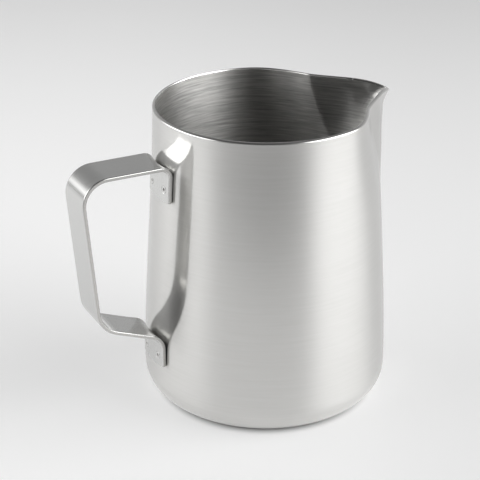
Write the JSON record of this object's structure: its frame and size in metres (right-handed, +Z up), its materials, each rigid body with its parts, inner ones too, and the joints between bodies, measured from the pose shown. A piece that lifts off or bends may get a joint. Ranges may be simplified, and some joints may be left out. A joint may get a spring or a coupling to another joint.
{
  "type": "milk frothing pitcher",
  "caption": "Open stainless steel pitcher for steaming and pouring milk, with a pointed spout and a flat strap handle welded to its wall.",
  "frame": {"origin": "centre of the flat base, on the surface the pitcher rests on", "axes": "+Z up along the pitcher's axis, +X to the tip of the spout with the handle on the opposite side, +Y to the left of the spout seen from the handle"},
  "size_m": [0.1236, 0.089, 0.11],
  "materials": {
    "shell_steel": "satin polished outside, brushed round the inside",
    "strap_steel": "fine brushed faces with polished edges",
    "weld_steel": "dull spot weld dimple"
  },
  "bodies": {
    "root": {"body_shell": "shell_steel", "handle_strap": "strap_steel", "weld_nugget_upper_left": "weld_steel", "weld_nugget_upper_right": "weld_steel", "weld_nugget_lower_left": "weld_steel", "weld_nugget_lower_right": "weld_steel"}
  },
  "joints": []
}
